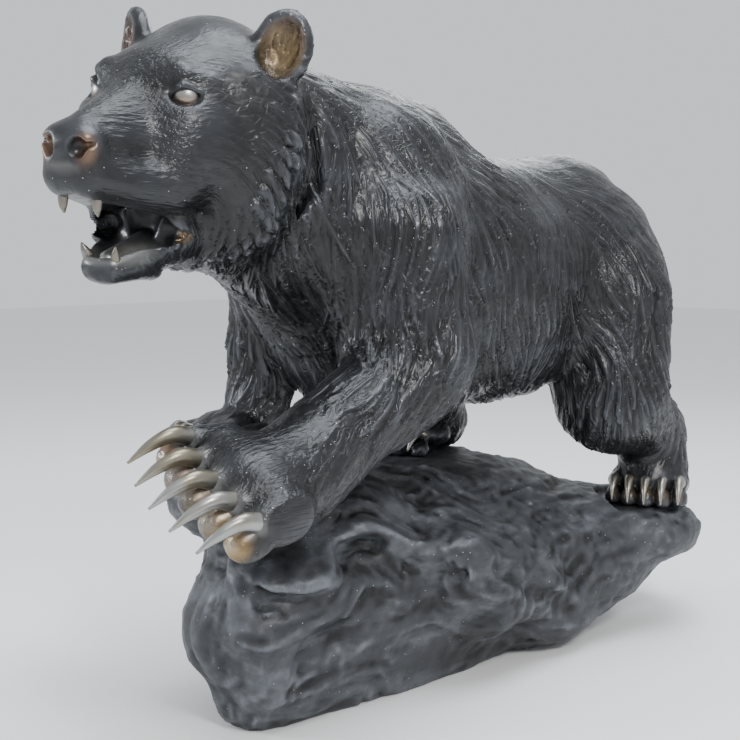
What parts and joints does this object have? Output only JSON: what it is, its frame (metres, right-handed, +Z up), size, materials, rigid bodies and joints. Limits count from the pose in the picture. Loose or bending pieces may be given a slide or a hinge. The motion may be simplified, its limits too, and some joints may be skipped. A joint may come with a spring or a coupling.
{
  "type": "bear sculpture",
  "caption": "Bronze sculpture of a roaring bear striding over a rock with one forepaw reaching forward, for a floor or a plinth.",
  "frame": {"origin": "middle of the footprint of the whole work, at the flat underside of the rock", "axes": "+Z up; the bear faces -Y; its left side, with the reaching forepaw, is +X"},
  "size_m": [0.5806, 1.5844, 1.2041],
  "materials": {
    "patinated_bronze": "satin",
    "rock_bronze": "satin"
  },
  "bodies": {
    "root": {"bear": "patinated_bronze", "rock_base": "rock_bronze"}
  },
  "joints": []
}
